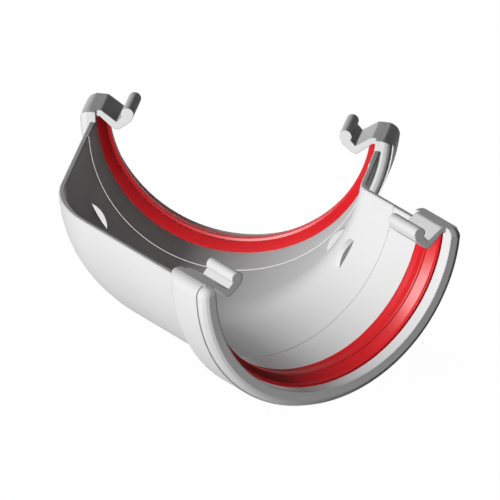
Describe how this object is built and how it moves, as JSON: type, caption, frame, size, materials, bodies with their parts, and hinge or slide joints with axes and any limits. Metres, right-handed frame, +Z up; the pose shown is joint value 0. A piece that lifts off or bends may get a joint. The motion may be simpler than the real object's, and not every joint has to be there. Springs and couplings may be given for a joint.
{
  "type": "gutter angle",
  "caption": "Half-round gutter angle that joins two gutter ends at 135 degrees, with clip-in sockets and rubber lip seals.",
  "frame": {"origin": "middle of the bounding box at its bottom, below the sockets' collars", "axes": "+Z up, out of the open top of the channel; +X along the right arm's side of the mirror plane, so the two arms run to +X and -X and both turn 22.5 degrees towards +Y, the inner side of the bend"},
  "size_m": [0.2252, 0.165, 0.0722],
  "materials": {
    "body": "smooth glossy white moulded PVC",
    "seal": "smooth red rubber with a soft sheen"
  },
  "bodies": {
    "root": {"angle_body": "body", "right_seal": "seal", "left_seal": "seal"}
  },
  "joints": []
}
